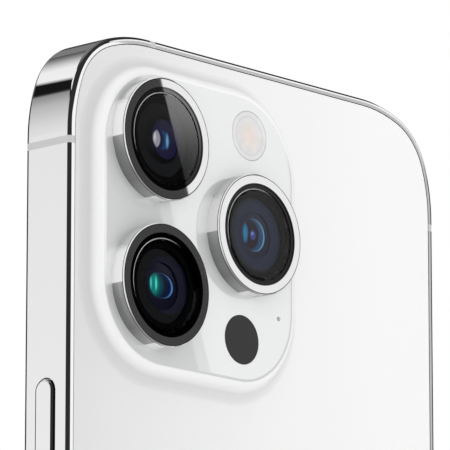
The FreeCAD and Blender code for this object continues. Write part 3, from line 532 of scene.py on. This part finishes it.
def white_glass():
    """White rear glass: satin all over, with painted shade across it and up the flare, a painted
    highlight on the crest, a painted shadow on its edge, and gloss on the camera plateau.
    """
    material, tree = new_material("white_glass")
    low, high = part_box("back_glass")
    coordinates = tree.object_place()
    parts = tree.split(coordinates)
    depth = parts["Y"]
    rear = high[1] - BACK_GLASS_THICK
    gloss = tree.smooth(depth, low[1] + 0.06 * MM, low[1] + 0.02 * MM)
    # The glass's edge below its rear face, where a painted shadow goes
    rim = tree.smooth(depth, rear + 0.015 * MM, rear + 0.04 * MM)
    reach = tree.maths("MULTIPLY_ADD", parts["X"], 1 / (high[0] - low[0]), 0.5)
    rise = tree.maths("MULTIPLY_ADD", depth, 1 / (low[1] - rear), rear / (rear - low[1]))
    # Painted shade across the glass, multiplied on the flare by its painted shade and light
    white = tree.mix(tree.smooth(rise, 0.005, 0.02), tree.ramp(reach, PAINTED_SHADE_STOPS),
                     tree.ramp(rise, FLARE_PAINTED_LIGHT_STOPS), blend="MULTIPLY")
    # A painted highlight on the flare's crest and the plateau
    white = tree.mix(tree.smooth(rise, 0.3, 0.75), white, grey(0.99))
    # The painted shadow on the glass's edge
    white = tree.mix(rim, white, grey(0.1))
    satin = tree.maths("MULTIPLY_ADD", tree.noise(coordinates, 9000.0, Detail=2.0), 0.05, 0.34)
    shader = tree.add("ShaderNodeBsdfPrincipled", {
        "Base Color": tree.mix(gloss, white, PLATEAU_COLOR),
        "Roughness": tree.mix(gloss, satin, grey(0.3)),
        "IOR": 1.52,
    })
    normal = tree.normal()
    mirrors = []
    for lean in PLATEAU_LEANS:
        tilted = tree.add("ShaderNodeVectorMath", {0: normal, 1: (lean, 0.0, 0.0)}, operation="ADD")
        mirror = {"Color": grey(1.0), "Roughness": MIRROR_ROUGHNESS, "Normal": tilted.outputs[0]}
        mirrors.append(tree.add("ShaderNodeBsdfGlossy", mirror).outputs[0])
    mirror = tree.blend_shaders(SECOND_LEAN_SHARE, *mirrors)
    share = tree.maths("MULTIPLY", gloss, PLATEAU_MIRROR)
    finish_surface(tree, tree.blend_shaders(share, shader.outputs[0], mirror))
    return material


FLASH_RADIUS = 3.3 * MM
# Colours from the flash window's centre to its rim
FLASH_STOPS = [(0.0, (0.94, 0.82, 0.75, 1.0)), (0.22, (0.88, 0.79, 0.75, 1.0)),
               (0.5, (0.83, 0.79, 0.77, 1.0)), (0.72, (0.82, 0.81, 0.81, 1.0)),
               (0.78, (0.73, 0.73, 0.74, 1.0)), (0.84, (0.84, 0.84, 0.845, 1.0)),
               (0.95, (0.84, 0.84, 0.845, 1.0)), (0.985, (0.72, 0.72, 0.73, 1.0))]


def flash_window(centre):
    """A pale lens over the flash: a warm centre and faint moulded rings."""
    material, tree = new_material("flash_lens")
    coordinates = tree.object_place()
    radius = from_axis(tree, tree.split(coordinates), centre)
    rings = tree.ramp(tree.maths("MULTIPLY", radius, 1 / FLASH_RADIUS), FLASH_STOPS)
    facets = tree.ramp(tree.noise(coordinates, 700.0, Detail=1.0), [(0.3, 0.92), (0.7, 1.0)])
    color = tree.mix(1.0, rings, facets, blend="MULTIPLY")
    shader = {"Base Color": color, "Roughness": 0.12, "IOR": 1.5}
    finish_surface(tree, tree.add("ShaderNodeBsdfPrincipled", shader).outputs[0])
    return material


CLEAR_COLOR = (0.97, 0.98, 1.0, 1.0)
COVER_ROUGHNESS = 0.006
COVER_BEVEL = (5.97 * MM, 6.3 * MM)
# The share of painted white highlight on the upper left of each cover's bevel
PAINTED_CRESCENT_SHARE = 0.55


def clear_surface(tree, strength, gloss_inputs):
    """Clear glass that mirrors a share of the light on its outside only, as (surface, outside)."""
    clear = tree.add("ShaderNodeBsdfTransparent", {"Color": CLEAR_COLOR}).outputs[0]
    gloss = {"Color": grey(1.0), "Roughness": COVER_ROUGHNESS, **gloss_inputs}
    gloss = tree.add("ShaderNodeBsdfGlossy", gloss).outputs[0]
    outside = tree.outside(tree.add("ShaderNodeNewGeometry").outputs["Backfacing"])
    return tree.blend_shaders(tree.both(strength, outside), clear, gloss), outside


def clear_glass():
    """Plain clear glass."""
    material, tree = new_material("cover_glass")
    strength = tree.maths("MULTIPLY_ADD", tree.noise(tree.object_place(), 400.0), 0.004, 0.03)
    finish_surface(tree, clear_surface(tree, strength, {})[0])
    return material


def camera_cover(name, centre, low, high):
    """A camera's coated cover glass, which mirrors more towards its head, with a painted white
    highlight on the upper left of its bevel.
    """
    material, tree = new_material(name)
    coordinates = tree.object_place()
    parts = tree.split(coordinates)
    # The cover mirrors more towards its head: a painted reflection ramp
    strength = tree.maths("MULTIPLY_ADD", tree.noise(coordinates, 400.0), 0.001,
                          painted_reflection_ramp(tree, parts["Z"], centre, low, high))
    # A painted white highlight on the upper left of the bevel, towards the key light
    bevel = tree.band(from_axis(tree, parts, centre), *COVER_BEVEL, FINE)
    towards_light = tree.maths("SUBTRACT", tree.maths("SUBTRACT", parts["Z"], centre[1]),
                               tree.maths("SUBTRACT", parts["X"], centre[0]))
    painted_crescent = tree.both(bevel, tree.smooth(towards_light, 2.0 * MM, 6.0 * MM))
    surface, outside = clear_surface(tree, strength, {"Normal": flattened(tree, parts, centre)})
    white = tree.add("ShaderNodeBsdfDiffuse", {"Color": grey(0.9)}).outputs[0]
    share = tree.both(tree.maths("MULTIPLY", painted_crescent, PAINTED_CRESCENT_SHARE), outside)
    finish_surface(tree, tree.blend_shaders(share, surface, white))
    return material


# Colour, roughness, metallic and finer settings of the plain slots
PLAIN_SLOTS = {
    "polished_steel": ((0.84, 0.84, 0.8442), 0.012, 1.0, {"scale": 220.0, "spread": 0.01}),
    "antenna_plastic": ((0.62, 0.62, 0.62), 0.35, 0.0, {"scale": 4000.0}),
    "white_film": ((0.9, 0.9, 0.9), 0.7, 0.0, {}),
    "display_glass": ((0.008, 0.008, 0.009), 0.04, 0.0, {"scale": 100.0, "spread": 0.02}),
    "lens_glass": ((0.01, 0.015, 0.05), 0.04, 0.0, {"scale": 100.0}),
    "black_plastic": ((0.012, 0.012, 0.013), 0.45, 0.0, {"bump": 0.3}),
    "black_gloss": ((0.006, 0.006, 0.007), 0.12, 0.0, {}),
    "flash_diffuser": ((0.9, 0.9, 0.88), 0.3, 0.0, {"scale": 2500.0}),
    "yellow_phosphor": ((0.85, 0.62, 0.12), 0.6, 0.0, {}),
    "grey_aluminium": ((0.55, 0.56, 0.58), 0.42, 1.0, {"scale": 6000.0, "bump": 0.4}),
    "plain_steel": ((0.52, 0.52, 0.53), 0.3, 1.0, {"scale": 2500.0}),
    "black_wrap": ((0.02, 0.02, 0.022), 0.5, 0.0, {"bump": 0.3}),
    "circuit_board": ((0.012, 0.03, 0.035), 0.35, 0.0, {"scale": 900.0, "spread": 0.3}),
    "copper_coil": ((0.62, 0.27, 0.12), 0.35, 1.0, {"scale": 1200.0}),
    "mesh_steel": ((0.05, 0.05, 0.055), 0.4, 1.0, {"scale": 5000.0, "spread": 0.4}),
    "seal_rubber": ((0.012, 0.012, 0.012), 0.6, 0.0, {}),
}


def paint_nodes():
    """Gives each CAD node its slot's material."""
    materials = {"white_glass": white_glass(), "clear_glass": clear_glass()}
    for slot, (color, roughness, metallic, more) in PLAIN_SLOTS.items():
        materials[slot] = speckled(slot, color, roughness, metallic, **more)
    for row in frame["record"]["subparts"]:
        data = nodes[row["node"]].data
        data.materials.clear()
        data.materials.append(materials[row["material_slot"]])


# --- Lens pieces ---------------------------------------------------------------------------------

LATHE_STEPS = 192
DOME_STEPS = 24
SMOOTH_ANGLE = 25


def lathe(name, profile, centre, material, body):
    """A piece turned about an axis along Y through centre. The profile is pairs of radius and Y."""
    turn = [2 * math.pi * step / LATHE_STEPS for step in range(LATHE_STEPS)]
    mesh = bmesh.new()
    rings = []
    for radius, depth in profile:
        angles = turn if radius else [0.0]
        rings.append([mesh.verts.new((centre[0] + radius * math.cos(angle), depth,
                                      centre[1] + radius * math.sin(angle))) for angle in angles])
    for inner, outer in zip(rings, rings[1:]):
        for step in range(LATHE_STEPS):
            after = (step + 1) % LATHE_STEPS
            corners = [inner[step % len(inner)], inner[after % len(inner)],
                       outer[after % len(outer)], outer[step % len(outer)]]
            mesh.faces.new(list(dict.fromkeys(corners)))
    bmesh.ops.recalc_face_normals(mesh, faces=mesh.faces)
    data = bpy.data.meshes.new(name)
    mesh.to_mesh(data)
    mesh.free()
    for polygon in data.polygons:
        polygon.use_smooth = True
    data.set_sharp_from_angle(angle=math.radians(SMOOTH_ANGLE))
    piece = bpy.data.objects.new(name, data)
    bpy.context.scene.collection.objects.link(piece)
    data.materials.append(material)
    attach(piece, body)
    return piece


def middle(node):
    """A node's centre in X and Z."""
    low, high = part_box(node)
    return ((low[0] + high[0]) / 2, (low[2] + high[2]) / 2)


def dome(radius, bulge, depth):
    """The profile of a shallow spherical cap that bulges towards -Y, from its rim to its pole."""
    sphere = (radius ** 2 + bulge ** 2) / (2 * bulge)
    widest = math.asin(radius / sphere)
    profile = []
    for step in range(DOME_STEPS + 1):
        angle = widest * (1 - step / DOME_STEPS)
        rise = sphere * (math.cos(angle) - math.cos(widest))
        profile.append((sphere * math.sin(angle) if step < DOME_STEPS else 0, depth - rise))
    return profile


def blob_mask(tree, parts, centre, aside, up, wide, tall, soft):
    """1 inside a soft ellipse. Its place and half sizes are in millimetres from the axis."""
    across = tree.maths("SUBTRACT", parts["X"], centre[0] + aside * MM)
    across = tree.maths("MULTIPLY", across, 1 / (wide * MM))
    height = tree.maths("SUBTRACT", parts["Z"], centre[1] + up * MM)
    height = tree.maths("MULTIPLY", height, 1 / (tall * MM))
    squares = tree.maths("MULTIPLY_ADD", across, across, tree.maths("MULTIPLY", height, height))
    return tree.smooth(tree.maths("SQRT", squares), 1 + soft, 1 - soft)


def painted_lens_reflections(name, centre, base, tones_and_painted_reflections):
    """Dark coated glass painted with soft ellipses: its halo, its pupil, and painted reflections
    and highlights of its coated elements.

    A blob is (colour, aside, up, half width, half height, softness). The first is the pupil's halo,
    the second the pupil, and the rest are painted reflections and highlights, painted only inside
    the pupil.
    """
    material, tree = new_material(name)
    coordinates = tree.object_place()
    parts = tree.split(coordinates)
    color = tree.mix(tree.noise(coordinates, 500.0), tuple(channel * 0.9 for channel in base),
                     tuple(channel * 1.1 for channel in base))
    pupil = None
    # Each ellipse is painted over the last; those after the pupil are painted reflections and
    # highlights
    for index, (tone, *shape) in enumerate(tones_and_painted_reflections):
        mask = blob_mask(tree, parts, centre, *shape)
        if index == 1:
            pupil = mask
        elif index > 1:
            mask = tree.both(mask, pupil)
        color = tree.mix(mask, color, tone)
    shader = {"Base Color": color, "Roughness": 0.25, "Specular IOR Level": 0.1}
    finish_surface(tree, tree.add("ShaderNodeBsdfPrincipled", shader).outputs[0])
    return material


# For each camera: the share its cover mirrors at its foot and head, a painted reflection ramp, its
# mask's aperture in millimetres, its glass's own colour, and the ellipses of its halo, its pupil
# and its painted reflections
LENSES = {
    "tele": {
        "painted_reflection_shares": (0.025, 0.17), "aperture": 4.9, "base": (0.0015, 0.0015, 0.002, 1.0),
        "tones_and_painted_reflections": [((0.009, 0.007, 0.034, 1.0), 0.9, 0.3, 2.62, 2.62, 0.04),
                  ((0.012, 0.010, 0.035, 1.0), 0.1, 0.05, 1.68, 1.4, 0.08),
                  ((0.015, 0.06, 0.17, 1.0), 0.05, 0.05, 1.5, 1.22, 0.05),
                  ((0.16, 0.42, 0.64, 1.0), 1.06, 0.05, 0.22, 0.75, 0.8),
                  ((0.006, 0.025, 0.085, 1.0), -0.85, 0.05, 1.5, 1.7, 0.3),
                  ((0.004, 0.008, 0.035, 1.0), -1.2, 0.05, 1.5, 1.6, 0.1),
                  ((0.34, 0.31, 0.34, 1.0), -1.78, 0.05, 1.5, 1.5, 0.05),
                  ((0.66, 0.64, 0.68, 1.0), -1.25, 0.25, 0.2, 0.6, 0.8)],
    },
    "main": {
        "painted_reflection_shares": (0.005, 0.005), "aperture": 4.9, "base": (0.0012, 0.0012, 0.0015, 1.0),
        "tones_and_painted_reflections": [((0.004, 0.004, 0.014, 1.0), 1.16, 0.3, 3.8, 3.85, 0.05),
                  ((0.003, 0.003, 0.010, 1.0), 0.2, 0.05, 2.3, 1.85, 0.1),
                  ((0.08, 0.24, 0.60, 1.0), 0.15, 0.05, 2.1, 1.6, 0.05),
                  ((0.001, 0.006, 0.03, 1.0), -0.05, 0.05, 2.02, 1.66, 0.1),
                  ((0.0, 0.05, 0.06, 1.0), -1.0, 0.05, 1.35, 1.6, 0.3),
                  ((0.0, 0.20, 0.155, 1.0), -1.25, 0.1, 0.8, 1.3, 0.4),
                  ((0.08, 0.72, 0.58, 1.0), -0.95, 0.2, 0.16, 0.75, 0.7),
                  ((0.06, 0.60, 0.55, 1.0), -1.85, 0.25, 0.14, 0.75, 0.7)],
    },
    "wide": {
        "painted_reflection_shares": (0.02, 0.024), "aperture": 4.95, "base": (0.012, 0.011, 0.013, 1.0),
        "tones_and_painted_reflections": [((0.014, 0.018, 0.036, 1.0), 0.75, 0.25, 4.75, 4.75, 0.06),
                  ((0.020, 0.016, 0.030, 1.0), 0.0, 0.05, 2.3, 2.5, 0.12),
                  ((0.13, 0.34, 0.48, 1.0), -0.02, 0.05, 2.05, 2.15, 0.04),
                  ((0.018, 0.055, 0.12, 1.0), -0.16, 0.05, 1.95, 2.15, 0.06),
                  ((0.012, 0.008, 0.016, 1.0), -0.75, 0.05, 1.6, 2.0, 0.12),
                  ((0.010, 0.17, 0.30, 1.0), -1.72, 0.1, 0.42, 1.15, 0.5),
                  ((0.035, 0.06, 0.14, 1.0), -0.32, 0.0, 0.55, 0.66, 0.1),
                  ((0.045, 0.04, 0.2, 1.0), -0.36, 0.0, 0.42, 0.5, 0.2),
                  ((0.20, 0.24, 0.60, 1.0), -0.4, 0.2, 0.18, 0.18, 0.8)],
    },
}
# Sizes of the lens pieces
MASK_OUTER = 5.55 * MM
MASK_THICK = 0.05 * MM
MASK_GAP = 0.02 * MM
ELEMENT_OUTER = 4.95 * MM
ELEMENT_RIM = 0.04 * MM
FUNNEL_RADIUS = 3.12 * MM
DOME_RADIUS = 3.1 * MM
DOME_BULGE = 0.2 * MM
BARREL_GAP = 0.05 * MM


def add_lens(name, look, black):
    """Under one camera's cover glass: a black mask with its aperture, and the front lens with
    painted reflections.
    """
    centre = middle(f"{name}_cover_glass")
    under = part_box(f"{name}_cover_glass")[1][1] + MASK_GAP
    mask = lathe(f"{name}_aperture_mask", [
        (look["aperture"] * MM, under + MASK_THICK),
        (look["aperture"] * MM, under),
        (MASK_OUTER, under),
        (MASK_OUTER, under + MASK_THICK),
    ], centre, black, "phone")
    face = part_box(f"{name}_focus_barrel")[0][1] - BARREL_GAP
    # The front lens's colours, with its painted reflections
    painted_coating_reflections = painted_lens_reflections(f"{name}_coating", centre, look["base"], look["tones_and_painted_reflections"])
    piece = lathe(f"{name}_lens_element", [
        (ELEMENT_OUTER, face + ELEMENT_RIM),
        (ELEMENT_OUTER, face),
        (FUNNEL_RADIUS, face),
        (FUNNEL_RADIUS, face + DOME_BULGE),
        *dome(DOME_RADIUS, DOME_BULGE, face + DOME_BULGE),
    ], centre, painted_coating_reflections, f"{name}_focus")
    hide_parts(f"{name}_front_lens")


make_camera()
make_world()
make_floor()
paint_nodes()
black_mask = speckled("aperture_black", (0.002, 0.002, 0.002), 0.5, **{"Specular IOR Level": 0.0})
for name, look in LENSES.items():
    centre = middle(f"{name}_cover_glass")
    ring = ring_steel(f"{name}_ring", centre, *look["painted_reflection_shares"])
    nodes[f"{name}_camera_ring"].data.materials[0] = ring
    cover = camera_cover(f"{name}_cover", centre, *look["painted_reflection_shares"])
    nodes[f"{name}_cover_glass"].data.materials[0] = cover
    add_lens(name, look, black_mask)
nodes["flash_window"].data.materials[0] = flash_window(middle("flash_window"))
ranger = speckled("ranger_black", (0.002, 0.002, 0.002), 0.01, scale=100.0, IOR=1.42)
nodes["ranger_window"].data.materials[0] = ranger
bpy.context.scene.view_settings.view_transform = "Standard"
